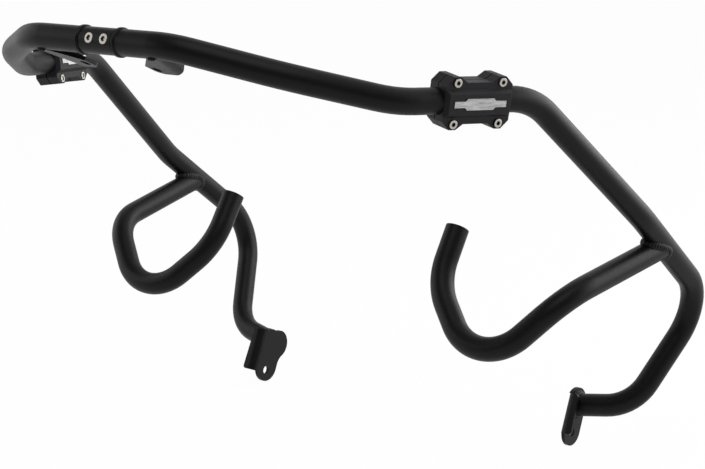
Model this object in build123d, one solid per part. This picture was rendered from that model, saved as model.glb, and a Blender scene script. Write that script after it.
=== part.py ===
from build123d import *
import math
import os

# Crash bars for a motorcycle, as one welded and bolted set.
# The front is -Y, up is +Z and +X is the rider's left. Sizes are in millimetres and degrees.
# Points are given for the left side, from the middle of the front run; the whole set is moved at the end.

# Tube stock
TUBE_D = 25.4
TUBE_WALL = 2.0

# Main tube: the corner and the centre-line radius of each bend, from the front joint to the mount plate
MAIN_BENDS = {
    "front": ((91.8, 0.0, 0.0), 64.5),
    "sweep": ((179.7, 52.7, -25.1), 187.0),
    "shoulder": ((247.7, 129.9, -50.7), 96.0),
    "knee": ((301.6, 274.2, -57.9), 76.5),
    "shin": ((334.9, 437.7, -195.7), 103.0),
    "heel": ((331.7, 590.4, -309.0), 58.0),
    "ankle": ((288.1, 516.2, -424.6), 52.0),
}
MAIN_END = (231.2, 502.0, -431.0)

# Branch tube: where it leaves the main tube, its bends and its free end
BRANCH_STRAIGHT = ("shin", "heel")
BRANCH_DISTANCE = 62.8
BRANCH_BENDS = [
    ((313.9, 326.5, -261.5), 61.0),
    ((235.7, 281.3, -346.9), 54.0),
    ((158.1, 325.8, -269.8), 77.5),
]
BRANCH_END = (158.1, 360.8, -215.9)

# Weld bead round the branch
BRANCH_BEAD_R = 3.2
BRANCH_BEAD_SINK = 1.4
BRANCH_BEAD_FLARE = 5.0
BRANCH_BEAD_SWEEP = 110

# Threaded plug in the branch's free end
BRANCH_PLUG_LENGTH = 22.0
BRANCH_PLUG_HOLE_D = 6.8
BRANCH_PLUG_HOLE_DEPTH = 18.0
PLUG_PLAY = 0.05

# Joint in the middle of the front run: a sleeve over two spigots, each with a collar
JOINT_X = 6.0
SLEEVE_LENGTH = 41.2
SLEEVE_GAP = 0.9
COLLAR_WIDTH = 5.0
COLLAR_STEP = 1.4
COLLAR_CHAMFER = 1.2
SPIGOT_D = 18.0
SPIGOT_PLAY = 0.1
SPIGOT_END_GAP = 1.0
JOINT_PLUG_LENGTH = 22.0
JOINT_SCREW_SHIFT = 3.0
JOINT_SCREW_SPACING = 19.0
JOINT_SCREW_TILT = 17.0
JOINT_SCREW_D = 6.0
JOINT_SCREW_LENGTH = 12.0
JOINT_HEAD_D = 10.0
JOINT_HEAD_HEIGHT = 2.8
JOINT_HEAD_ROUND = 0.5
JOINT_SOCKET = 5.0
JOINT_SOCKET_DEPTH = 2.0
JOINT_SEAT_SINK = 1.3
JOINT_SEAT_PLAY = 0.35
SCREW_HOLE_PLAY = 0.3
THREAD_PLAY = 0.03
JOINT_HOLE_SPARE = 2.0

# The bike's rake, which the tabs slope down by and the mount plates lean back by
RAKE = 23.6

# Front bracket: a slotted tab behind the front run with its outer side folded up
SHEET = 4.0
TAB_DROP = 0.4
TAB_INNER_X = 40.0
TAB_ROOT_X = 66.0
TAB_SHOULDER_REACH = 27.0
TAB_REACH = 49.3
TAB_CORNER_R = 9.0
SLOT_X = 47.4
SLOT_REACH = 35.6
SLOT_WIDTH = 8.4
SLOT_LENGTH = 12.2
FOLD_FRONT_X = 81.4
FOLD_FRONT_REACH = 12.2
FOLD_SKEW = 19.3
FOLD_INNER_R = 3.0
GUSSET_HEIGHT = 19.0
TAB_BEAD_R = 3.0
TAB_BEAD_INSET = 2.0
TAB_BEAD_LENGTH = 9.0
TAB_TOE_BEAD_R = 1.8

# Mount plates at the lower rear: a round foot with the bolt hole, a round seat at the tube, a front flange.
# The two sides' plates differ. Each is given from the tube's seat: back, and up along the lean.
PLATE_X = 224.8
PLATE_HOLE_D = 10.5
LEFT_PLATE = {
    "hole_back": 2.8,
    "hole_drop": 30.8,
    "foot_r": 17.0,
    "foot_rise": 1.5,
    "seat_r": 19.5,
}
RIGHT_PLATE = {
    "hole_back": 5.3,
    "hole_drop": 38.2,
    "foot_r": 18.6,
    "foot_rise": 4.5,
    "seat_r": 14.0,
    "lobe_back": 16.3,
    "lobe_drop": 2.2,
    "lobe_r": 17.6,
    "waist_r": 18.0,
}
FLANGE_REACH = 21.0
FLANGE_FLAT = 6.8
FLANGE_TOP_FLAT = 4.3
FLANGE_TOP = 10.0
FLANGE_BELOW_HOLE = 4.5
FLANGE_CORNER_R = 3.5
FLANGE_INNER_R = 5.5
PLATE_BEAD = 4.0

# Slider block clamped on the straight above the knee bend: two like halves
SLIDER_STRAIGHT = ("shoulder", "knee")
SLIDER_DISTANCE = 82.0
SLIDER_ROLL = 7.1
SLIDER_SPLIT = 1.0
SLIDER_HALF_LENGTH = 37.6
EAR_DEPTH = 12.8
EAR_HALF_HEIGHT = 25.0
EAR_TOP_START = 21.9
EAR_TOP_END = 29.4
EAR_SIDE_HALF_HEIGHT = 17.2
WAIST_HALF_LENGTH = 14.0
WAIST_HALF_HEIGHT = 19.6
EAR_CORNER_R = 1.2
BOSS_HEIGHT = 4.3
BOSS_BASE_HALF_HEIGHT = 13.1
BOSS_FACE_HALF_HEIGHT = 9.8
BOSS_END_SLOPE = 3.0
BOSS_ROUND = 0.8

# Blank badge plate in a shallow recess of each half
BADGE_HALF_LENGTH = 29.1
BADGE_END_HALF_HEIGHT = 3.0
BADGE_MID_HALF_LENGTH = 14.8
BADGE_MID_HALF_HEIGHT = 5.4
BADGE_RECESS = 1.6
BADGE_PROUD = 0.6
BADGE_PLAY = 0.4

# Slider screws and nuts
SLIDER_SCREW_U = 25.4
SLIDER_SCREW_V = 19.5
SLIDER_SCREW_D = 5.0
SLIDER_HEAD_D = 8.5
SLIDER_HEAD_HEIGHT = 5.0
SLIDER_HEAD_PROUD = 1.6
SLIDER_HEAD_ROUND = 0.4
SLIDER_SOCKET = 4.0
SLIDER_SOCKET_DEPTH = 2.6
SLIDER_HEAD_PLAY = 0.4
SLIDER_SCREW_LENGTH = 22.0
NUT_FLATS = 8.0
NUT_HEIGHT = 4.0

# Sizes that follow from the ones above
TUBE_R = TUBE_D / 2
BORE_R = TUBE_R - TUBE_WALL
COLLAR_R = TUBE_R + COLLAR_STEP
SLEEVE_BORE_R = SPIGOT_D / 2 + SPIGOT_PLAY
COLLAR_INNER = SLEEVE_LENGTH / 2 + SLEEVE_GAP
COLLAR_OUTER = COLLAR_INNER + COLLAR_WIDTH
SPIGOT_SPLIT_X = JOINT_X + JOINT_SCREW_SHIFT
PLATE_OUTER_X = PLATE_X + SHEET / 2
BOSS_FACE = EAR_DEPTH + BOSS_HEIGHT
SLIDER_SEAT = EAR_DEPTH + SLIDER_HEAD_PROUD - SLIDER_HEAD_HEIGHT

RAKE_SIN = math.sin(math.radians(RAKE))
RAKE_COS = math.cos(math.radians(RAKE))


# A bent round bar along corners with radii, or a tube when a bore is given
def bent_bar(start, bends, end, radius, bore=0):
    points = [start] + [corner for corner, bend_radius in bends] + [end]
    path = FilletPolyline(*points, radius=[bend_radius for corner, bend_radius in bends])
    section_plane = Plane(origin=path @ 0, z_dir=path % 0)
    section = Circle(radius)
    if bore:
        section -= Circle(bore)
    return sweep(section_plane * section, path=path)


# A round bar from one point along a direction
def round_bar(origin, direction, radius, length):
    plane = Plane(origin=origin, z_dir=direction)
    return extrude(plane * Circle(radius), length)


# A closed flat face from corner points
def outline(points):
    return make_face(Polyline(*points, close=True))


# All the corners of an outline that is the same in its four quarters
def four_way(quarter):
    back = quarter[::-1]
    upper_right = list(quarter)
    lower_right = [(x, -y) for x, y in back]
    lower_left = [(-x, -y) for x, y in quarter]
    upper_left = [(-x, y) for x, y in back]
    return upper_right + lower_right + lower_left + upper_left


# A hexagon by its width across flats
def hexagon(flats):
    return RegularPolygon(radius=flats / 2, side_count=6, major_radius=False)


# A socket screw that stands on its seat at the origin, head upwards
def socket_screw(head_d, head_height, head_round, socket, socket_depth, thread_d, length):
    head = extrude(Circle(head_d / 2), head_height)
    head = fillet(head.edges().group_by(Axis.Z)[-1], head_round)
    head -= extrude(Plane.XY.offset(head_height - socket_depth) * hexagon(socket), socket_depth)
    return head + extrude(Circle(thread_d / 2), -length)


# The point a distance along the straight between two bends of the main tube, and the way it runs
def on_main(straight, distance):
    corner, following = [Vector(*MAIN_BENDS[bend][0]) for bend in straight]
    direction = (following - corner).normalized()
    return corner + direction * distance, direction


# Where the main tube's axis meets the mount plate's outer face, and the way it runs there
def plate_seat():
    ankle = Vector(*MAIN_BENDS["ankle"][0])
    along = (Vector(*MAIN_END) - ankle).normalized()
    return ankle + along * ((ankle.X - PLATE_OUTER_X) / -along.X), along


# Shapes of one side, built on the left
def main_bar(start_x, radius, bore=0):
    seat, along = plate_seat()
    past_plate = seat + along * TUBE_D
    bar = bent_bar((start_x, 0, 0), list(MAIN_BENDS.values()), tuple(past_plate), radius, bore)
    beyond = Box(2 * TUBE_D, 2 * TUBE_D, 2 * TUBE_D, align=(Align.MAX, Align.CENTER, Align.CENTER))
    return bar - Pos(PLATE_OUTER_X, seat.Y, seat.Z) * beyond


def branch_bar(radius, bore=0):
    start, direction = on_main(BRANCH_STRAIGHT, BRANCH_DISTANCE)
    return bent_bar(tuple(start), BRANCH_BENDS, BRANCH_END, radius, bore)


# Two tubes of one diameter meet along two half ellipses, square to each other; each has its own run of bead
def branch_weld(main_solid, branch_solid):
    joint, main_dir = on_main(BRANCH_STRAIGHT, BRANCH_DISTANCE)
    branch_dir = (Vector(*BRANCH_BENDS[0][0]) - joint).normalized()
    wide = (main_dir + branch_dir).normalized()
    narrow = (branch_dir - main_dir).normalized()
    sideways = wide.cross(narrow)
    mitre = Plane(origin=joint, z_dir=wide - narrow)
    half_angle = math.acos(branch_dir.dot(main_dir)) / 2
    side_r = TUBE_R - BRANCH_BEAD_SINK
    runs = [
        (wide, TUBE_R / math.sin(half_angle) - BRANCH_BEAD_SINK, Keep.TOP),
        (narrow, TUBE_R / math.cos(half_angle) + BRANCH_BEAD_FLARE, Keep.BOTTOM),
    ]
    beads = []
    for long_dir, long_r, kept in runs:
        plane = Plane(origin=joint, x_dir=long_dir, z_dir=long_dir.cross(sideways))
        arc = EllipticalCenterArc((0, 0), long_r, side_r, -BRANCH_BEAD_SWEEP, arc_size=2 * BRANCH_BEAD_SWEEP)
        path = plane * arc
        section = Plane(origin=path @ 0, z_dir=path % 0) * Circle(BRANCH_BEAD_R)
        bead = split(sweep(section, path=path), bisect_by=mitre, keep=kept)
        beads.append(bead - main_solid - branch_solid)
    return Compound(beads)


def branch_plug():
    last = Vector(*BRANCH_BENDS[-1][0])
    end = Vector(*BRANCH_END)
    inwards = (last - end).normalized()
    plug = round_bar(end, inwards, BORE_R - PLUG_PLAY, BRANCH_PLUG_LENGTH)
    return plug - round_bar(end, inwards, BRANCH_PLUG_HOLE_D / 2, BRANCH_PLUG_HOLE_DEPTH)


# Front bracket in its own plane: across, back along the slope, and up square to the slope
def front_bracket(main_solid):
    plane = Plane(origin=(0, 0, 0), x_dir=(1, 0, 0), z_dir=(0, RAKE_SIN, RAKE_COS))
    bottom = -(TUBE_R + TAB_DROP)
    top = bottom + SHEET
    skew = math.radians(FOLD_SKEW)
    fold_dir = Vector(-math.sin(skew), math.cos(skew), 0)
    inwards = Vector(-math.cos(skew), -math.sin(skew), 0)
    fold_start = Vector(FOLD_FRONT_X, FOLD_FRONT_REACH, bottom) - fold_dir * TAB_REACH
    outer_r = FOLD_INNER_R + SHEET
    section_plane = Plane(origin=fold_start, x_dir=inwards, z_dir=fold_dir)
    up = section_plane.y_dir.Z
    leg = 2 * FOLD_FRONT_X
    flat = section_plane * outline([(outer_r, 0), (leg, 0), (leg, up * SHEET), (outer_r, up * SHEET)])
    wall_top = up * (outer_r + GUSSET_HEIGHT)
    wall_foot = up * outer_r
    wall = section_plane * outline([(0, wall_foot), (SHEET, wall_foot), (SHEET, wall_top), (0, wall_top)])
    quarter = Circle(outer_r) - Circle(FOLD_INNER_R)
    corner = Pos(outer_r, up * outer_r) * quarter
    corner &= outline([(0, 0), (outer_r, 0), (outer_r, up * outer_r), (0, up * outer_r)])
    run = 3 * TAB_REACH
    sheet = extrude(flat, run) + extrude(wall, run) + extrude(section_plane * corner, run)
    plan = outline([
        (TAB_ROOT_X, 0), (TAB_INNER_X, TAB_SHOULDER_REACH), (TAB_INNER_X, TAB_REACH),
        (2 * FOLD_FRONT_X, TAB_REACH), (2 * FOLD_FRONT_X, 0),
    ])
    rear_inner = plan.vertices().sort_by(Axis.X)[0:2].sort_by(Axis.Y)[-1]
    plan = fillet(rear_inner, TAB_CORNER_R)
    high = top + GUSSET_HEIGHT
    upright = RAKE_SIN / RAKE_COS
    high_reach = TAB_REACH - upright * GUSSET_HEIGHT
    side = outline([(0, bottom), (TAB_REACH, bottom), (TAB_REACH, top), (high_reach, high), (0, high)])
    side_plane = Plane(origin=(0, 0, 0), x_dir=(0, 1, 0), z_dir=(1, 0, 0))
    sheet &= extrude(Plane.XY.offset(bottom) * plan, high - bottom)
    sheet &= extrude(side_plane * side, 2 * FOLD_FRONT_X)
    slot = SlotOverall(SLOT_LENGTH, SLOT_WIDTH, rotation=90)
    sheet -= extrude(Pos(SLOT_X, SLOT_REACH, bottom) * slot, SHEET)
    bracket = sheet.moved(plane.location) - main_solid
    bracket = bracket.solids().sort_by(SortBy.VOLUME)[-1]

    rear = math.sqrt(TUBE_R ** 2 - top ** 2)
    bead_start = TAB_ROOT_X + TAB_BEAD_INSET
    beads = []
    for reach, height, radius in ((rear, top, TAB_BEAD_R), (0, bottom, TAB_TOE_BEAD_R)):
        bead = round_bar((bead_start, reach, height), (1, 0, 0), radius, TAB_BEAD_LENGTH)
        beads.append(bead.moved(plane.location) - main_solid - bracket)
    return bracket, Compound(beads)


# Mount plate in its own plane: back square to the lean, up along the lean, from the tube's seat
def plate_face(sizes, flange_bottom):
    foot_up = sizes["foot_rise"] - sizes["hole_drop"]
    front = sizes["hole_back"] - sizes["foot_r"]
    rear = sizes["hole_back"] + sizes["foot_r"]
    face = outline([(front, foot_up), (rear, foot_up), (sizes["seat_r"], 0), (front, 0)])
    face += Pos(sizes["hole_back"], foot_up) * Circle(sizes["foot_r"])
    face += Circle(sizes["seat_r"])
    if "lobe_r" in sizes:
        lobe_up = -sizes["lobe_drop"]
        face += outline([(0, foot_up), (rear, foot_up), (rear, lobe_up), (0, lobe_up)])
        face += Pos(sizes["lobe_back"], lobe_up) * Circle(sizes["lobe_r"])
        near_waist = (rear, lobe_up - sizes["lobe_r"])
        face = fillet(face.vertices().sort_by_distance(near_waist)[0], sizes["waist_r"])
    return face + outline([
        (-FLANGE_REACH, flange_bottom), (0, flange_bottom), (0, FLANGE_TOP), (-FLANGE_REACH, FLANGE_TOP),
    ])


def mount_plate(main_solid, sizes):
    seat, along = plate_seat()
    plane = Plane(origin=seat, x_dir=(0, RAKE_COS, -RAKE_SIN), z_dir=(1, 0, 0))
    bottom = -sizes["hole_drop"] - FLANGE_BELOW_HOLE
    height = FLANGE_TOP - bottom
    face = plate_face(sizes, bottom)
    plate = extrude(face, -SHEET)
    outer_r = FLANGE_INNER_R + SHEET
    section_plane = Plane(origin=(-FLANGE_REACH, FLANGE_TOP, -SHEET), x_dir=(1, 0, 0), z_dir=(0, -1, 0))
    cleared = outline([(-outer_r, 0), (outer_r, 0), (outer_r, SHEET), (-outer_r, SHEET)])
    plate -= extrude(section_plane * cleared, height)
    corner = Pos(outer_r, outer_r) * (Circle(outer_r) - Circle(FLANGE_INNER_R))
    corner &= outline([(0, 0), (outer_r, 0), (outer_r, outer_r), (0, outer_r)])
    plate += extrude(section_plane * corner, height)
    leg = outline([(bottom, 0), (bottom, FLANGE_FLAT), (FLANGE_TOP, FLANGE_TOP_FLAT), (FLANGE_TOP, 0)])
    leg = fillet(leg.vertices().sort_by(Axis.Y)[-2:], FLANGE_CORNER_R)
    leg_plane = Plane(origin=(-FLANGE_REACH, 0, FLANGE_INNER_R), x_dir=(0, 1, 0), z_dir=(1, 0, 0))
    plate += extrude(leg_plane * leg, SHEET)
    plate -= Pos(sizes["hole_back"], -sizes["hole_drop"]) * extrude(Circle(PLATE_HOLE_D / 2), -SHEET)
    plate = plate.moved(plane.location) - main_solid

    back = PLATE_BEAD * 3
    cone_plane = Plane(origin=seat + along * back, z_dir=along * -1)
    cone = loft([
        cone_plane * Circle(TUBE_R + PLATE_BEAD + back),
        cone_plane.offset(back + PLATE_BEAD) * Circle(TUBE_R),
    ], ruled=True)
    weld = cone & extrude(face, back).moved(plane.location)
    weld = weld - main_solid - plate
    return plate, weld.solids().sort_by(SortBy.VOLUME)[-1]


# Slider block in its own plane: along the tube, up and outwards
def slider_plane():
    centre, along = on_main(SLIDER_STRAIGHT, SLIDER_DISTANCE)
    level = along.cross(Vector(0, 0, 1)).normalized()
    rise = level.cross(along)
    roll = math.radians(SLIDER_ROLL)
    outwards = level * math.cos(roll) - rise * math.sin(roll)
    return Plane(origin=centre, x_dir=along, z_dir=outwards)


def screw_places():
    return [
        (side * SLIDER_SCREW_U, height * SLIDER_SCREW_V)
        for side in (-1, 1)
        for height in (-1, 1)
    ]


def badge_face():
    step = BADGE_MID_HALF_HEIGHT - BADGE_END_HALF_HEIGHT
    return outline(four_way([
        (BADGE_MID_HALF_LENGTH, BADGE_MID_HALF_HEIGHT),
        (BADGE_MID_HALF_LENGTH + step, BADGE_END_HALF_HEIGHT),
        (BADGE_HALF_LENGTH, BADGE_END_HALF_HEIGHT),
    ]))


def slider_half():
    ears = outline(four_way([
        (WAIST_HALF_LENGTH, WAIST_HALF_HEIGHT),
        (EAR_TOP_START, EAR_HALF_HEIGHT),
        (EAR_TOP_END, EAR_HALF_HEIGHT),
        (SLIDER_HALF_LENGTH, EAR_SIDE_HALF_HEIGHT),
    ]))
    ears = fillet(ears.vertices(), EAR_CORNER_R)
    half = extrude(Plane.XY.offset(SLIDER_SPLIT / 2) * ears, EAR_DEPTH - SLIDER_SPLIT / 2)
    boss = loft([
        Plane.XY.offset(EAR_DEPTH) * Rectangle(2 * SLIDER_HALF_LENGTH, 2 * BOSS_BASE_HALF_HEIGHT),
        Plane.XY.offset(BOSS_FACE)
        * Rectangle(2 * (SLIDER_HALF_LENGTH - BOSS_END_SLOPE), 2 * BOSS_FACE_HALF_HEIGHT),
    ], ruled=True)
    boss = fillet(boss.edges().group_by(Axis.Z)[-1], BOSS_ROUND)
    half += boss
    half -= extrude(Plane.YZ.offset(-SLIDER_HALF_LENGTH) * Circle(TUBE_R), 2 * SLIDER_HALF_LENGTH)
    pocket = offset(badge_face(), BADGE_PLAY, kind=Kind.INTERSECTION)
    half -= extrude(Plane.XY.offset(BOSS_FACE - BADGE_RECESS) * pocket, BADGE_RECESS)
    for place in screw_places():
        half -= Pos(*place, 0) * extrude(Circle(SLIDER_SCREW_D / 2 + SCREW_HOLE_PLAY), EAR_DEPTH)
        counterbore = Circle(SLIDER_HEAD_D / 2 + SLIDER_HEAD_PLAY)
        half -= Pos(*place, SLIDER_SEAT) * extrude(counterbore, EAR_DEPTH - SLIDER_SEAT)
    return half


def badge():
    return extrude(Plane.XY.offset(BOSS_FACE - BADGE_RECESS) * badge_face(), BADGE_RECESS + BADGE_PROUD)


def slider_screws():
    screw = socket_screw(
        SLIDER_HEAD_D, SLIDER_HEAD_HEIGHT, SLIDER_HEAD_ROUND, SLIDER_SOCKET, SLIDER_SOCKET_DEPTH,
        SLIDER_SCREW_D, SLIDER_SCREW_LENGTH,
    )
    return Compound([Pos(*place, SLIDER_SEAT) * screw for place in screw_places()])


def slider_nuts():
    nut = extrude(hexagon(NUT_FLATS), -NUT_HEIGHT)
    nut -= extrude(Circle(SLIDER_SCREW_D / 2 + THREAD_PLAY), -NUT_HEIGHT)
    return Compound([Pos(*place, -SLIDER_SEAT) * nut for place in screw_places()])


# Joint pieces, built about the joint's own centre on the X axis
def joint_screw_location(side):
    tilt = math.radians(JOINT_SCREW_TILT)
    outwards = (0, -math.cos(tilt), math.sin(tilt))
    seat_r = math.sqrt(TUBE_R ** 2 - (JOINT_HEAD_D / 2) ** 2) - JOINT_SEAT_SINK
    centre = Vector(SPIGOT_SPLIT_X + side * JOINT_SCREW_SPACING / 2, 0, 0)
    return Plane(origin=centre + Vector(*outwards) * seat_r, x_dir=(1, 0, 0), z_dir=outwards).location


def joint_sleeve():
    start = (JOINT_X - SLEEVE_LENGTH / 2, 0, 0)
    sleeve = round_bar(start, (1, 0, 0), TUBE_R, SLEEVE_LENGTH)
    sleeve -= round_bar(start, (1, 0, 0), SLEEVE_BORE_R, SLEEVE_LENGTH)
    for side in (-1, 1):
        place = joint_screw_location(side)
        seat = extrude(Circle(JOINT_HEAD_D / 2 + JOINT_SEAT_PLAY), TUBE_D)
        hole = extrude(Circle(JOINT_SCREW_D / 2 + SCREW_HOLE_PLAY), -JOINT_SCREW_LENGTH)
        sleeve -= seat.moved(place)
        sleeve -= hole.moved(place)
    return sleeve


def joint_screws():
    screw = socket_screw(
        JOINT_HEAD_D, JOINT_HEAD_HEIGHT, JOINT_HEAD_ROUND, JOINT_SOCKET, JOINT_SOCKET_DEPTH,
        JOINT_SCREW_D, JOINT_SCREW_LENGTH,
    )
    return Compound([screw.moved(joint_screw_location(side)) for side in (-1, 1)])


def joint_plug(side):
    direction = (side, 0, 0)
    spigot_start = (SPIGOT_SPLIT_X + side * SPIGOT_END_GAP / 2, 0, 0)
    collar_start = (JOINT_X + side * COLLAR_INNER, 0, 0)
    plug_start = (JOINT_X + side * COLLAR_OUTER, 0, 0)
    spigot_length = COLLAR_INNER - side * JOINT_SCREW_SHIFT - SPIGOT_END_GAP / 2
    spigot = round_bar(spigot_start, direction, SPIGOT_D / 2, spigot_length)
    collar = round_bar(collar_start, direction, COLLAR_R, COLLAR_WIDTH)
    collar = chamfer(collar.edges().filter_by(GeomType.CIRCLE), COLLAR_CHAMFER)
    plug = round_bar(plug_start, direction, BORE_R - PLUG_PLAY, JOINT_PLUG_LENGTH)
    piece = spigot + collar + plug
    hole = extrude(Circle(JOINT_SCREW_D / 2 + THREAD_PLAY), -(JOINT_SCREW_LENGTH + JOINT_HOLE_SPARE))
    return piece - hole.moved(joint_screw_location(side))


def mirrored(shape):
    return mirror(shape, about=Plane.YZ)


# The pieces of one side; the front run's length depends on the side, since the joint is off the middle
def build_side(start_x, plate_sizes):
    bar = main_bar(start_x, TUBE_R)
    branch_solid = branch_bar(TUBE_R)
    pieces = {}
    pieces["main_tube"] = main_bar(start_x, TUBE_R, BORE_R)
    pieces["branch_tube"] = branch_bar(TUBE_R, BORE_R) - bar
    pieces["branch_weld"] = branch_weld(bar, branch_solid)
    pieces["branch_plug"] = branch_plug()
    pieces["front_bracket"], pieces["front_bracket_weld"] = front_bracket(bar)
    pieces["mount_plate"], pieces["mount_plate_weld"] = mount_plate(bar, plate_sizes)
    place = slider_plane().location
    half = slider_half()
    plate = badge()
    pieces["slider_outer_half"] = half.moved(place)
    pieces["slider_inner_half"] = mirror(half, about=Plane.XY).moved(place)
    pieces["outer_badge_plate"] = plate.moved(place)
    pieces["inner_badge_plate"] = mirror(plate, about=Plane.XY).moved(place)
    pieces["slider_screws"] = slider_screws().moved(place)
    pieces["slider_nuts"] = slider_nuts().moved(place)
    return pieces


nodes = {}
left_start = JOINT_X + COLLAR_OUTER
right_start = COLLAR_OUTER - JOINT_X
for name, shape in build_side(left_start, LEFT_PLATE).items():
    nodes["left_" + name] = shape
for name, shape in build_side(right_start, RIGHT_PLATE).items():
    nodes["right_" + name] = mirrored(shape)
nodes["left_joint_plug"] = joint_plug(1)
nodes["right_joint_plug"] = joint_plug(-1)
nodes["joint_sleeve"] = joint_sleeve()
nodes["joint_screws"] = joint_screws()

# The origin is the bottom centre of the whole set's box
box = Compound(list(nodes.values())).bounding_box()
shift = Location((0, -(box.min.Y + box.max.Y) / 2, -box.min.Z))

os.makedirs("parts", exist_ok=True)
for name, shape in nodes.items():
    export_step(shape.moved(shift), os.path.join("parts", name + ".step"))
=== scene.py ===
import math

import bpy
import numpy as np
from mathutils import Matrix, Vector


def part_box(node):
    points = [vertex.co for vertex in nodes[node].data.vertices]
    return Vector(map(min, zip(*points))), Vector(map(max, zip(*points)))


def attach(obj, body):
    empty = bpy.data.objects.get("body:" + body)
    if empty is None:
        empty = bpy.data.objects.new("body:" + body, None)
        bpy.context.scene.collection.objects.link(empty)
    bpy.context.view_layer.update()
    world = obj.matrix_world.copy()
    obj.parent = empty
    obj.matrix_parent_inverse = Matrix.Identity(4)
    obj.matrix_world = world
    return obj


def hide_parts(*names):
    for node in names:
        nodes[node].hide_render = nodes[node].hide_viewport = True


# Dresses the crash bars: finishes, weld beads with ripples, a white studio and the photograph's camera.
# The frame and the stage are in metres; the object's own sizes are in millimetres, which MM turns to metres.
MM = 0.001

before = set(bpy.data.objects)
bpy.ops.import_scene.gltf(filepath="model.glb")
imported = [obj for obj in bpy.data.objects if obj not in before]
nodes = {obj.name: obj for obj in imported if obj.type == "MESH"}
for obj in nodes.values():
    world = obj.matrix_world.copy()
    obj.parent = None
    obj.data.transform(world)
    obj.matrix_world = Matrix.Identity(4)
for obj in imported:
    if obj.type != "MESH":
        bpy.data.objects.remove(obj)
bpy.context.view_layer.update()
scene = bpy.context.scene

# The middle of the front run, which the tubes' points are measured from, lies on the joint sleeve's axis
sleeve_low, sleeve_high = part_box("joint_sleeve")
RUN_MIDDLE = np.array([0.0, (sleeve_low.y + sleeve_high.y) / 2, (sleeve_low.z + sleeve_high.z) / 2])

# Camera, placed from the middle of the front run
CAMERA_OFFSET = np.array([1204.8, -1161.3, 161.1]) * MM
CAMERA_FORWARD = Vector((-0.60231, 0.77196, -0.20320))
CAMERA_LENS = 91.016
CAMERA_SENSOR = 36.0
CAMERA_SHIFT = (0.0003, -0.0017)

# Main tube on the left side: the corners of its bends, from the slider down to the mount plate, and its end
TUBE_R = 12.7
MAIN_SHOULDER = np.array([247.7, 129.9, -50.7])
MAIN_KNEE = np.array([301.6, 274.2, -57.9])
MAIN_SHIN = np.array([334.9, 437.7, -195.7])
MAIN_HEEL = np.array([331.7, 590.4, -309.0])
MAIN_ANKLE = np.array([288.1, 516.2, -424.6])
MAIN_END = np.array([231.2, 502.0, -431.0])

# Branch tube on the left side: how far below the shin it leaves the main tube, and its first bend's corner
BRANCH_DISTANCE = 62.8
BRANCH_FIRST_BEND = np.array([313.9, 326.5, -261.5])

# The motorcycle's rake, which the tabs slope down by and the mount plates lean back by
RAKE = math.radians(23.6)
RAKE_BACK = np.array([0.0, math.cos(RAKE), -math.sin(RAKE)])
RAKE_UP = np.array([0.0, math.sin(RAKE), math.cos(RAKE)])

# Mount plates: the outer face, the round seats at the tube's end, and the right plate's lobe and web.
# The web runs on past the bead, so its reach is only a distance that the bead doesn't come to.
PLATE_OUTER_X = 226.8
LEFT_SEAT_R = 19.5
RIGHT_SEAT_R = 14.0
LOBE_BACK = 16.3
LOBE_DROP = 2.2
LOBE_R = 17.6
WEB_REACH = 2 * TUBE_R

# Front brackets: the tab's two faces, and how far back its top face meets the tube
SHEET = 4.0
TAB_DROP = 0.4
TAB_BOTTOM = -(TUBE_R + TAB_DROP)
TAB_TOP = TAB_BOTTOM + SHEET
TAB_REAR = math.sqrt(TUBE_R ** 2 - TAB_TOP ** 2)

# Weld beads: legs, crowns and radii, and how deep their hidden edges lie in the metal
BRANCH_BEAD_LEG = 4.1
BRANCH_BEAD_EXTRA = 1.4
BRANCH_BEAD_ROUNDING = 7.0
BRANCH_BEAD_CROWN = 0.9
PLATE_BEAD_LEG = 4.0
PLATE_BEAD_CROWN = 0.6
TAB_BEAD_START = 68.0
TAB_BEAD_LENGTH = 9.0
TAB_REAR_BEAD_R = 2.8
TAB_TOE_BEAD_R = 1.7
TOE_SINK = 0.3
HEEL_SINK = 1.2

# Ripples of the beads. The lag and the lean are in torch steps: how far a ripple's middle trails its edges,
# and how far it tips round a tab bead. The wander gives waves per lap and their size in torch steps.
RIPPLE_PITCH = 3.2
RIPPLE_HEIGHT = 0.7
RIPPLE_FULLNESS = 0.8
RIPPLE_LAG = 0.55
RIPPLE_LEAN = 0.2
RIPPLE_WANDER = {3: 0.22, 7: 0.13}

# Points of the beads' grids, and the share of a tab bead that is left off at either end
BRANCH_BEAD_ROWS = 720
PLATE_BEAD_ROWS = 480
FILLET_COLUMNS = 15
TAB_BEAD_ROWS = 64
TAB_BEAD_COLUMNS = 24
TAB_BEAD_TRIM = 0.01

# Where a branch bead's two ends are looked for, and how many rows either way smooth the right plate's edge
SEARCH_REACH = 3 * TUBE_R
SEARCH_POINTS = 6001
EDGE_BLEND_ROWS = 15

# Patterns of the finishes, as wide, long and deep as they are drawn
PEEL_WIDTH = 2.2
PEEL_DEPTH = 0.25
COAT_DRIFT_WIDTH = 45.0
SPARK_WIDTH = 0.9
SPARK_DEPTH = 0.15
FLOW_WIDTH = 18.0
SCRATCH_LENGTH = 14.0
SCRATCH_WIDTH = 0.45
PIT_WIDTH = 0.7
PIT_SHARE = 0.35
BRUSH_DEPTH = 0.12
TUMBLE_WIDTH = 0.8
TUMBLE_DEPTH = 0.05

# How far round a point the screws' finish looks for a socket's walls, and by how many rays. Also how open a
# point is where the painted shade in the sockets is full, and where it ends
SOCKET_REACH = 2.5
SOCKET_RAYS = 8
FULL_SHADE_OPENNESS = 0.45
NO_SHADE_OPENNESS = 0.85

# Nearly all values of a noise lie between the first two, and most of the plates' relief between the others
NOISE_LOW = 0.3
NOISE_HIGH = 0.7
RELIEF_LOW = 0.38
RELIEF_HIGH = 0.62

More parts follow.
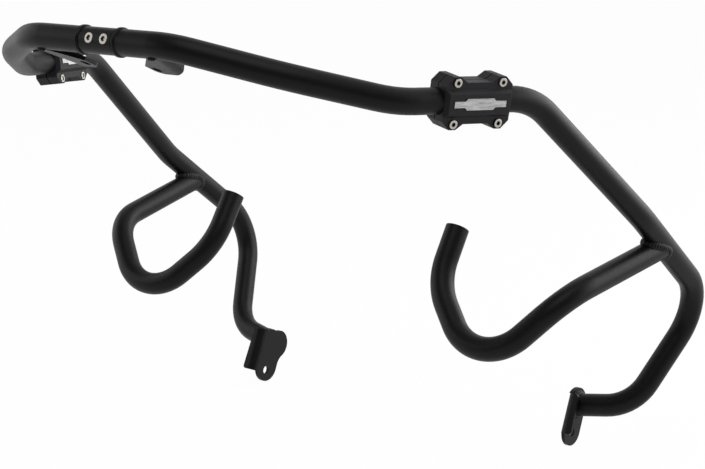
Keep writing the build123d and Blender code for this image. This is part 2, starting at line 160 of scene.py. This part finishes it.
# Stage: the glow of the floor, the surround and the tent is a share of white
WHITE = (1.0, 1.0, 1.0, 1.0)
FLOOR_HALF = 30.0
FLOOR_DROP = -0.002
FLOOR_GLOW = 0.97
AMBIENT = 0.45
LAMP_TARGET = Vector((0.0, 0.0, 0.25))
TENT_RADIUS = 2.4
TENT_LEFT = math.radians(-150.0)
TENT_RIGHT = math.radians(62.0)
TENT_GLOW = 0.24
TENT_COLUMNS = 49
TENT_ROWS = 25


# Turns an sRGB hex colour into the linear colour that the shaders take
def linear(code):
    channels = [int(code[start:start + 2], 16) / 255 for start in (1, 3, 5)]
    curved = [c / 12.92 if c <= 0.04045 else ((c + 0.055) / 1.055) ** 2.4 for c in channels]
    return curved + [1.0]


# Adds one shader node, sets its properties, and links or sets its inputs
def add(tree, kind, inputs=None, **settings):
    made = tree.nodes.new(kind)
    for name, value in settings.items():
        setattr(made, name, value)
    for socket, value in (inputs or {}).items():
        if isinstance(value, bpy.types.NodeSocket):
            tree.links.new(value, made.inputs[socket])
        else:
            made.inputs[socket].default_value = value
    return made


# A material with an empty node tree
def new_material(name):
    material = bpy.data.materials.new(name)
    material.use_nodes = True
    tree = material.node_tree
    tree.nodes.clear()
    return material, tree


# Cycles per metre of a noise whose grains are this many millimetres wide
def grain(width_mm):
    return 1 / (width_mm * MM)


# Polyester powder coat, sprayed dry and baked on steel: satin black with a fine orange peel and a low shine.
# The peel's cells are about 1 mm; they are drawn 2.2 mm wide so that they show. The tone drifts a little
# over some 45 mm, as the coat's thickness does.
def powder_coat():
    material, tree = new_material("powder_coat_satin_black")
    place = add(tree, "ShaderNodeTexCoord").outputs["Object"]
    peel = add(
        tree, "ShaderNodeTexNoise",
        {"Vector": place, "Scale": grain(PEEL_WIDTH), "Detail": 3.0, "Roughness": 0.55},
    )
    drift = add(
        tree, "ShaderNodeTexNoise",
        {"Vector": place, "Scale": grain(COAT_DRIFT_WIDTH), "Detail": 2.0},
    )
    tone = add(
        tree, "ShaderNodeMix",
        {"Factor": drift.outputs["Fac"], "A": linear("#09090a"), "B": linear("#0f0f10")},
        data_type="RGBA",
    )
    gloss = add(
        tree, "ShaderNodeMapRange",
        {
            "Value": peel.outputs["Fac"],
            "From Min": NOISE_LOW,
            "From Max": NOISE_HIGH,
            "To Min": 0.37,
            "To Max": 0.46,
        },
    )
    bump = add(
        tree, "ShaderNodeBump",
        {"Height": peel.outputs["Fac"], "Strength": 0.10, "Distance": PEEL_DEPTH * MM},
    )
    shader = add(
        tree, "ShaderNodeBsdfPrincipled",
        {
            "Base Color": tone.outputs["Result"],
            "Roughness": gloss.outputs["Result"],
            "Normal": bump.outputs["Normal"],
            "IOR": 1.33,
            "Specular IOR Level": 0.3,
        },
    )
    add(tree, "ShaderNodeOutputMaterial", {"Surface": shader.outputs["BSDF"]})
    return material


# Glass-filled nylon, moulded in a spark-eroded tool: black with a faint violet cast and a fine matt grain.
# The spark grain is about 0.3 mm; it is drawn 0.9 mm wide so that it shows. The tone changes a little over
# some 18 mm, as the melt flowed.
def moulded_nylon():
    material, tree = new_material("moulded_black_nylon")
    place = add(tree, "ShaderNodeTexCoord").outputs["Object"]
    spark = add(
        tree, "ShaderNodeTexNoise",
        {"Vector": place, "Scale": grain(SPARK_WIDTH), "Detail": 4.0, "Roughness": 0.6},
    )
    flow = add(tree, "ShaderNodeTexNoise", {"Vector": place, "Scale": grain(FLOW_WIDTH), "Detail": 2.0})
    tone = add(
        tree, "ShaderNodeMix",
        {"Factor": flow.outputs["Fac"], "A": linear("#0c0b0f"), "B": linear("#121116")},
        data_type="RGBA",
    )
    gloss = add(
        tree, "ShaderNodeMapRange",
        {
            "Value": spark.outputs["Fac"],
            "From Min": NOISE_LOW,
            "From Max": NOISE_HIGH,
            "To Min": 0.48,
            "To Max": 0.62,
        },
    )
    bump = add(
        tree, "ShaderNodeBump",
        {"Height": spark.outputs["Fac"], "Strength": 0.16, "Distance": SPARK_DEPTH * MM},
    )
    shader = add(
        tree, "ShaderNodeBsdfPrincipled",
        {
            "Base Color": tone.outputs["Result"],
            "Roughness": gloss.outputs["Result"],
            "Normal": bump.outputs["Normal"],
            "IOR": 1.36,
            "Specular IOR Level": 0.42,
        },
    )
    add(tree, "ShaderNodeOutputMaterial", {"Surface": shader.outputs["BSDF"]})
    return material


# Aluminium plate, blasted, then brushed along its length: silver with a fine sparkle under long scratches.
# The blasted pits are about 0.2 mm and the scratches 0.1 mm apart; they are drawn 0.7 mm and 0.45 mm wide
# so that they show. The turn, seen from above, lays the scratches along the plate.
def brushed_aluminium(side_name, turn):
    material, tree = new_material(side_name + "_blasted_brushed_aluminium")
    place = add(tree, "ShaderNodeTexCoord").outputs["Object"]
    turned = add(
        tree, "ShaderNodeMapping",
        {"Vector": place, "Rotation": (0.0, 0.0, turn)},
        vector_type="TEXTURE",
    )
    stretched = add(
        tree, "ShaderNodeMapping",
        {
            "Vector": turned.outputs["Vector"],
            "Scale": (grain(SCRATCH_LENGTH), grain(SCRATCH_WIDTH), grain(SCRATCH_WIDTH)),
        },
    )
    scratches = add(
        tree, "ShaderNodeTexNoise",
        {"Vector": stretched.outputs["Vector"], "Scale": 1.0, "Detail": 3.0},
    )
    pits = add(
        tree, "ShaderNodeTexNoise",
        {"Vector": place, "Scale": grain(PIT_WIDTH), "Detail": 2.0, "Roughness": 0.7},
    )
    relief = add(
        tree, "ShaderNodeMix",
        {"Factor": PIT_SHARE, "A": scratches.outputs["Fac"], "B": pits.outputs["Fac"]},
        data_type="FLOAT",
    )
    spread = add(
        tree, "ShaderNodeMapRange",
        {
            "Value": relief.outputs["Result"],
            "From Min": RELIEF_LOW,
            "From Max": RELIEF_HIGH,
            "To Min": 0.0,
            "To Max": 1.0,
        },
    )
    tone = add(
        tree, "ShaderNodeMix",
        {"Factor": spread.outputs["Result"], "A": linear("#818284"), "B": linear("#cbcbc9")},
        data_type="RGBA",
    )
    gloss = add(
        tree, "ShaderNodeMapRange",
        {
            "Value": spread.outputs["Result"],
            "From Min": 0.0,
            "From Max": 1.0,
            "To Min": 0.50,
            "To Max": 0.30,
        },
    )
    bump = add(
        tree, "ShaderNodeBump",
        {"Height": relief.outputs["Result"], "Strength": 0.35, "Distance": BRUSH_DEPTH * MM},
    )
    shader = add(
        tree, "ShaderNodeBsdfPrincipled",
        {
            "Base Color": tone.outputs["Result"],
            "Roughness": gloss.outputs["Result"],
            "Normal": bump.outputs["Normal"],
            "Metallic": 1.0,
        },
    )
    add(tree, "ShaderNodeOutputMaterial", {"Surface": shader.outputs["BSDF"]})
    return material


# Stainless steel screws and nuts, cold headed and tumbled: a warm soft shine, with painted shade darkening
# the sockets.
# The tumbling marks are under 0.5 mm; they are drawn 0.8 mm wide so that they show.
def tumbled_stainless():
    material, tree = new_material("tumbled_stainless_steel")
    place = add(tree, "ShaderNodeTexCoord").outputs["Object"]
    marks = add(tree, "ShaderNodeTexNoise", {"Vector": place, "Scale": grain(TUMBLE_WIDTH), "Detail": 4.0})
    shine = add(
        tree, "ShaderNodeMix",
        {"Factor": marks.outputs["Fac"], "A": linear("#a29f99"), "B": linear("#c1bdb5")},
        data_type="RGBA",
    )
    # Painted shade: the colour darkens to near black where a socket's walls close round a point, as shade
    # falls there
    openness = add(
        tree, "ShaderNodeAmbientOcclusion",
        {"Distance": SOCKET_REACH * MM},
        samples=SOCKET_RAYS,
    )
    unshaded = add(
        tree, "ShaderNodeMapRange",
        {
            "Value": openness.outputs["AO"],
            "From Min": FULL_SHADE_OPENNESS,
            "From Max": NO_SHADE_OPENNESS,
            "To Min": 0.0,
            "To Max": 1.0,
        },
    )
    tone = add(
        tree, "ShaderNodeMix",
        {"Factor": unshaded.outputs["Result"], "A": linear("#1d1b18"), "B": shine.outputs["Result"]},
        data_type="RGBA",
    )
    gloss = add(
        tree, "ShaderNodeMapRange",
        {
            "Value": marks.outputs["Fac"],
            "From Min": NOISE_LOW,
            "From Max": NOISE_HIGH,
            "To Min": 0.24,
            "To Max": 0.38,
        },
    )
    bump = add(
        tree, "ShaderNodeBump",
        {"Height": marks.outputs["Fac"], "Strength": 0.12, "Distance": TUMBLE_DEPTH * MM},
    )
    shader = add(
        tree, "ShaderNodeBsdfPrincipled",
        {
            "Base Color": tone.outputs["Result"],
            "Roughness": gloss.outputs["Result"],
            "Normal": bump.outputs["Normal"],
            "Metallic": 1.0,
        },
    )
    add(tree, "ShaderNodeOutputMaterial", {"Surface": shader.outputs["BSDF"]})
    return material


# Makes an object at the origin from points and faces
def new_piece(name, points, faces, material):
    mesh = bpy.data.meshes.new(name)
    mesh.from_pydata(points, [], faces)
    mesh.materials.append(material)
    piece = bpy.data.objects.new(name, mesh)
    scene.collection.objects.link(piece)
    return piece


# Puts grids of points into one smooth piece: rows run along a bead and columns go round its section.
# A ring's last row joins its first; an open run is closed by a face at either end.
def grid_piece(name, grids, ring, material):
    points = []
    faces = []
    for grid in grids:
        rows, columns = grid.shape[:2]
        index = len(points) + np.arange(rows * columns).reshape(rows, columns)
        around = np.roll(index, -1, axis=1)
        ahead = np.roll(index, -1, axis=0)
        corner = np.roll(ahead, -1, axis=1)
        quads = np.stack([index, around, corner, ahead], axis=-1)
        faces += quads[:rows if ring else -1].reshape(-1, 4).tolist()
        if not ring:
            faces += [index[0, ::-1].tolist(), index[-1].tolist()]
        points += grid.reshape(-1, 3).tolist()
    piece = new_piece(name, points, faces, material)
    piece.data.validate()
    piece.data.polygons.foreach_set("use_smooth", np.ones(len(piece.data.polygons), dtype=bool))
    return piece


# Takes points of the left side from the middle of the front run to the frame; side -1 mirrors them
def place_side(points, side):
    placed = points * MM
    placed[..., 0] *= side
    return placed + RUN_MIDDLE


# Puts a bead on one side of the set; a mirrored grid turns inside out, so its columns run the other way
def bead(name, replaced, grids, ring, side, material):
    placed = [place_side(grid, side)[:, ::side] for grid in grids]
    piece = grid_piece(name, placed, ring, material)
    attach(piece, "root")
    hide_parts(replaced)


# Vectors of length one with the same directions
def unit(vectors):
    return vectors / np.linalg.norm(vectors, axis=-1, keepdims=True)


# The height of a weld's ripples, from 0 to 1: one hump per torch step, which is the sine without its sign,
# filled out by a power below one
def ripples(phase):
    return np.abs(np.sin(math.pi * phase)) ** RIPPLE_FULLNESS


# A fillet weld in the corner between two surfaces, from arrays in millimetres.
# root: the line where the surfaces meet; outward: the way the bead swells; toe_a and toe_b: its edges.
# Each section runs straight from toe to toe and is raised by a parabola, at least to the root and by the
# crown above it, with one ripple per torch step, curved back like a row of fallen coins. Its heel is sunk
# under the root.
def weld_points(root, outward, toe_a, toe_b, crown):
    steps = np.linalg.norm(np.roll(root, -1, axis=0) - root, axis=1)
    length = steps.sum()
    travelled = np.concatenate([[0.0], np.cumsum(steps)[:-1]])
    lap = 2 * math.pi * travelled / length
    share = np.linspace(0, 1, FILLET_COLUMNS)[None, :, None]
    swell = 4 * share * (1 - share)
    wander = sum(size * np.sin(waves * lap) for waves, size in RIPPLE_WANDER.items())
    torch_steps = travelled / length * round(length / RIPPLE_PITCH) + wander
    coins = ripples(torch_steps[:, None, None] - RIPPLE_LAG * swell)
    middle = (toe_a + toe_b) / 2
    lift = np.maximum(np.sum((root - middle) * outward, axis=1), 0.0)[:, None, None]
    chord = (1 - share) * toe_a[:, None] + share * toe_b[:, None]
    face = chord + outward[:, None] * swell * (lift + crown + RIPPLE_HEIGHT * (coins - 0.5))
    heel = root[:, None] - HEEL_SINK * outward[:, None]
    return np.concatenate([face, heel], axis=1)


# The nearest point of a tube's skin, slightly sunk, to each point; a point and a direction give the tube
def on_tube(points, centre, direction):
    away = points - centre
    along = (away @ direction)[:, None] * direction
    return centre + along + (TUBE_R - TOE_SINK) * unit(away - along)


# The bead round a branch. Two tubes of one diameter meet along two half ellipses that cross at right angles
# on the tube's side. In the plane of the two axes these are straight lines that halve the wide and the
# narrow corner, so their crossing is rounded there by the hyperbola w * n = (rounding / 2) squared, w and n
# being the lengths along the two. The line is then lifted square to that plane to whichever tube stands
# out further. The bead's legs lie on the two skins, square to the line, and grow towards the narrow corner.
def branch_bead_points():
    main_dir = unit(MAIN_HEEL - MAIN_SHIN)
    joint = MAIN_SHIN + main_dir * BRANCH_DISTANCE
    branch_dir = unit(BRANCH_FIRST_BEND - joint)
    wide = unit(main_dir + branch_dir)
    narrow = unit(branch_dir - main_dir)
    sideways = np.cross(wide, narrow)

    # Points of the hyperbola, the way it runs there, and the distance to the nearer of the two axes
    def flat_line(place):
        spread = np.sqrt(place ** 2 + BRANCH_BEAD_ROUNDING ** 2)
        flat = (spread + place)[:, None] / 2 * wide + (spread - place)[:, None] / 2 * narrow
        ahead = (1 + place / spread)[:, None] * wide - (1 - place / spread)[:, None] * narrow
        main_gap = np.linalg.norm(np.cross(flat, main_dir), axis=1)
        branch_gap = np.linalg.norm(np.cross(flat, branch_dir), axis=1)
        return flat, ahead, np.minimum(main_gap, branch_gap)

    # The line ends where it leaves the tubes, and goes there and back on either side of the plane
    search = np.linspace(-SEARCH_REACH, SEARCH_REACH, SEARCH_POINTS)
    inside = search[flat_line(search)[2] < TUBE_R]
    angle = np.linspace(0, 2 * math.pi, BRANCH_BEAD_ROWS, endpoint=False)
    centre = (inside.max() + inside.min()) / 2
    reach = (inside.max() - inside.min()) / 2
    flat, ahead, gap = flat_line(centre + reach * np.sin(angle))
    height = np.sign(np.cos(angle)) * np.sqrt(np.maximum(TUBE_R ** 2 - gap ** 2, 0.0))
    root = flat + height[:, None] * sideways

    # Ways off each tube's axis, and ways along each skin that lead away from the other tube
    from_main = unit(root - (root @ main_dir)[:, None] * main_dir)
    from_branch = unit(root - (root @ branch_dir)[:, None] * branch_dir)
    tangent = unit(np.roll(root, -1, axis=0) - np.roll(root, 1, axis=0))
    off_branch = np.cross(ahead, sideways)
    off_branch = off_branch * -np.sign(off_branch @ branch_dir)[:, None]
    to_branch = unit(np.cross(tangent, from_branch))
    to_branch = to_branch * -np.sign(np.sum(to_branch * off_branch, axis=1))[:, None]
    to_main = unit(np.cross(tangent, from_main))
    to_main = to_main * np.sign(np.sum(to_main * off_branch, axis=1))[:, None]

    root = joint + root
    leg = (BRANCH_BEAD_LEG + BRANCH_BEAD_EXTRA * ((1 - np.sin(angle)) / 2) ** 2)[:, None]
    main_toe = on_tube(root + leg * to_main, joint, main_dir)
    branch_toe = on_tube(root + leg * to_branch, joint, branch_dir)
    return weld_points(root, unit(from_main + from_branch), branch_toe, main_toe, BRANCH_BEAD_CROWN)


# The bead where the main tube's end meets the mount plate's outer face, along an ellipse on that face.
# Its leg on the plate is its full size, or as far as the plate's rounded edge where that is nearer.
def plate_bead_points(edge):
    along = unit(MAIN_END - MAIN_ANKLE)
    seat = MAIN_ANKLE + along * (MAIN_ANKLE[0] - PLATE_OUTER_X) / -along[0]
    across = unit(np.cross(along, [0.0, 0.0, 1.0]))
    upward = np.cross(across, along)
    angle = np.linspace(0, 2 * math.pi, PLATE_BEAD_ROWS, endpoint=False)[:, None]
    radial = np.cos(angle) * across + np.sin(angle) * upward
    root = seat + TUBE_R * radial
    root = root + along * ((PLATE_OUTER_X - root[:, :1]) / along[0])
    in_plate = unit((root - seat) * [0.0, 1.0, 1.0])
    leg = np.minimum(PLATE_BEAD_LEG, edge(in_plate) - np.linalg.norm(root - seat, axis=1))[:, None]
    plate_toe = root + leg * in_plate - [TOE_SINK, 0.0, 0.0]
    tube_toe = on_tube(root - PLATE_BEAD_LEG * along, seat, along)
    outward = unit(radial + [1.0, 0.0, 0.0])
    return weld_points(root, outward, tube_toe, plate_toe, PLATE_BEAD_CROWN)


# How far the left plate reaches from its tube seat: a round seat
def left_edge(direction):
    return np.full(len(direction), LEFT_SEAT_R)


# How far the right plate reaches from its tube seat: a small round seat, a round lobe behind it and the web
# below. A ray from the seat leaves the lobe's circle at d + sqrt(d * d - c * c + r * r), d being its centre
# along the ray, c its distance and r its radius. A bell-shaped average over the rows near by smooths
# the steps between the three.
def right_edge(direction):
    back = direction @ RAKE_BACK
    up = direction @ RAKE_UP
    ahead = back * LOBE_BACK - up * LOBE_DROP
    lobe = ahead + np.sqrt(np.maximum(ahead ** 2 - LOBE_BACK ** 2 - LOBE_DROP ** 2 + LOBE_R ** 2, 0.0))
    reach = np.maximum(RIGHT_SEAT_R, np.where(up < 0, WEB_REACH, lobe))
    bell = np.hanning(2 * EDGE_BLEND_ROWS + 1)
    lap = np.concatenate([reach[-EDGE_BLEND_ROWS:], reach, reach[:EDGE_BLEND_ROWS]])
    return np.convolve(lap, bell / bell.sum(), mode="valid")


# One of the two short beads between a front bracket's tab and the tube, straight across the set.
# Its section is a circle whose radius falls to nothing at the ends as the fourth root of a parabola does,
# with one ripple per torch step, leaning like fallen coins. Reach runs back along the tab's slope, height
# square to it.
def tab_bead_points(reach, height, radius):
    share = np.linspace(TAB_BEAD_TRIM, 1 - TAB_BEAD_TRIM, TAB_BEAD_ROWS)[:, None]
    angle = np.linspace(0, 2 * math.pi, TAB_BEAD_COLUMNS, endpoint=False)[None, :]
    coins = ripples(share * TAB_BEAD_LENGTH / RIPPLE_PITCH + RIPPLE_LEAN * np.cos(angle))
    swell = (4 * share * (1 - share)) ** 0.25
    size = swell * (radius + RIPPLE_HEIGHT * (coins - 0.5))
    across = (TAB_BEAD_START + TAB_BEAD_LENGTH * share) * np.ones_like(angle)
    back = reach + size * np.cos(angle)
    up = height + size * np.sin(angle)
    x_axis = np.array([1.0, 0.0, 0.0])
    return across[..., None] * x_axis + back[..., None] * RAKE_BACK + up[..., None] * RAKE_UP


# One for rays that show the background, from the camera, a gloss or a glass, and nought for the rest
def seen_rays(tree):
    path = add(tree, "ShaderNodeLightPath")
    glossy = add(
        tree, "ShaderNodeMath",
        {0: path.outputs["Is Camera Ray"], 1: path.outputs["Is Glossy Ray"]},
        operation="MAXIMUM",
    )
    seen = add(
        tree, "ShaderNodeMath",
        {0: glossy.outputs[0], 1: path.outputs["Is Transmission Ray"]},
        operation="MAXIMUM",
    )
    return seen.outputs[0]


# A soft oblong lamp turned to the object; place, width and height in metres, power in watts
def soft_lamp(name, place, width, height, power):
    lamp_data = bpy.data.lights.new(name, "AREA")
    lamp_data.shape = "RECTANGLE"
    lamp_data.size = width
    lamp_data.size_y = height
    lamp_data.energy = power
    lamp = bpy.data.objects.new(name, lamp_data)
    lamp.location = place
    lamp.rotation_mode = "QUATERNION"
    lamp.rotation_quaternion = (LAMP_TARGET - Vector(place)).to_track_quat("-Z", "Y")
    scene.collection.objects.link(lamp)


# Finishes; the badge plates are brushed along their slider, which lies between the shoulder and the knee
coat = powder_coat()
nylon = moulded_nylon()
stainless = tumbled_stainless()
slider_run = MAIN_KNEE - MAIN_SHOULDER
slider_turn = math.atan2(slider_run[1], slider_run[0])
aluminium = {
    "left": brushed_aluminium("left", slider_turn),
    "right": brushed_aluminium("right", math.pi - slider_turn),
}

# Every CAD node keeps its shape and takes a finish
for name, node in nodes.items():
    if "badge_plate" in name:
        finish = aluminium[name.split("_")[0]]
    elif "screws" in name or "nuts" in name:
        finish = stainless
    elif "slider" in name:
        finish = nylon
    else:
        finish = coat
    node.data.materials.clear()
    node.data.materials.append(finish)

# Weld beads with ripples stand for the plain beads of the CAD model
for side_name, side, edge in (("left", 1, left_edge), ("right", -1, right_edge)):
    branch_bead = [branch_bead_points()]
    bead(side_name + "_branch_bead", side_name + "_branch_weld", branch_bead, True, side, coat)
    plate_bead = [plate_bead_points(edge)]
    bead(side_name + "_plate_bead", side_name + "_mount_plate_weld", plate_bead, True, side, coat)
    tab_beads = [
        tab_bead_points(TAB_REAR, TAB_TOP, TAB_REAR_BEAD_R),
        tab_bead_points(0.0, TAB_BOTTOM, TAB_TOE_BEAD_R),
    ]
    bead(side_name + "_tab_beads", side_name + "_front_bracket_weld", tab_beads, False, side, coat)

# White floor: a painted face with a glow that leaves a soft shadow under the object
floor_material, tree = new_material("white_floor")
paint = add(tree, "ShaderNodeBsdfDiffuse", {"Color": linear("#f4f4f4")})
glow = add(tree, "ShaderNodeEmission", {"Color": WHITE, "Strength": 1.0})
seen = add(tree, "ShaderNodeMath", {0: seen_rays(tree), 1: FLOOR_GLOW}, operation="MULTIPLY")
mixed = add(tree, "ShaderNodeMixShader", {0: seen.outputs[0], 1: paint.outputs[0], 2: glow.outputs[0]})
add(tree, "ShaderNodeOutputMaterial", {"Surface": mixed.outputs[0]})
floor_corners = [
    (-FLOOR_HALF, -FLOOR_HALF, FLOOR_DROP),
    (FLOOR_HALF, -FLOOR_HALF, FLOOR_DROP),
    (FLOOR_HALF, FLOOR_HALF, FLOOR_DROP),
    (-FLOOR_HALF, FLOOR_HALF, FLOOR_DROP),
]
floor = new_piece("floor", floor_corners, [(0, 1, 2, 3)], floor_material)

# White surround, which lights the object less than it shows
world = bpy.data.worlds.new("white_surround")
scene.world = world
world.use_nodes = True
tree = world.node_tree
tree.nodes.clear()
strength = add(
    tree, "ShaderNodeMapRange",
    {"Value": seen_rays(tree), "From Min": 0.0, "From Max": 1.0, "To Min": AMBIENT, "To Max": 1.0},
)
surround = add(tree, "ShaderNodeBackground", {"Color": WHITE, "Strength": strength.outputs["Result"]})
add(tree, "ShaderNodeOutputWorld", {"Surface": surround.outputs[0]})

# Soft lamps round the object
soft_lamp("top_softbox", (0.65, -0.80, 1.85), 1.4, 1.4, 12.0)
soft_lamp("right_softbox", (1.5, 1.3, 0.7), 1.8, 1.4, 13.0)
soft_lamp("rear_softbox", (0.95, 1.75, 1.05), 2.0, 1.4, 22.0)
soft_lamp("left_softbox", (-1.65, -0.4, 0.75), 1.8, 1.4, 12.0)
soft_lamp("front_softbox", (-1.1, -1.6, 0.85), 0.9, 0.7, 2.0)

# The grey tent is part of a globe round the camera's side: faces turned to the camera mirror its dim cloth,
# and the white surround shows along their edges. Its grid runs over the compass angle from the camera and
# the height.
tent_material, tree = new_material("grey_tent_cloth")
cloth = add(tree, "ShaderNodeEmission", {"Color": WHITE, "Strength": TENT_GLOW})
add(tree, "ShaderNodeOutputMaterial", {"Surface": cloth.outputs[0]})
facing = math.atan2(-CAMERA_FORWARD.y, -CAMERA_FORWARD.x)
compass = facing + np.linspace(TENT_LEFT, TENT_RIGHT, TENT_COLUMNS)[:, None]
rise = np.linspace(0.0, 0.5 * math.pi, TENT_ROWS)[None, :]
level = np.cos(rise)
upright = np.sin(rise) * np.ones_like(compass)
globe = np.stack([level * np.cos(compass), level * np.sin(compass), upright], axis=-1)
index = np.arange(TENT_COLUMNS * TENT_ROWS).reshape(TENT_COLUMNS, TENT_ROWS)
quads = np.stack([index[:-1, :-1], index[1:, :-1], index[1:, 1:], index[:-1, 1:]], axis=-1).reshape(-1, 4)
tent = new_piece("grey_tent", (TENT_RADIUS * globe).reshape(-1, 3).tolist(), quads.tolist(), tent_material)
tent.visible_camera = False

# Camera at the photograph's viewing angle
camera_data = bpy.data.cameras.new("camera")
camera_data.lens = CAMERA_LENS
camera_data.sensor_width = CAMERA_SENSOR
camera_data.sensor_fit = "HORIZONTAL"
camera_data.shift_x = CAMERA_SHIFT[0]
camera_data.shift_y = CAMERA_SHIFT[1]
camera = bpy.data.objects.new("camera", camera_data)
camera.location = RUN_MIDDLE + CAMERA_OFFSET
camera.rotation_mode = "QUATERNION"
camera.rotation_quaternion = CAMERA_FORWARD.to_track_quat("-Z", "Y")
scene.collection.objects.link(camera)
scene.camera = camera
scene.view_settings.view_transform = "Standard"
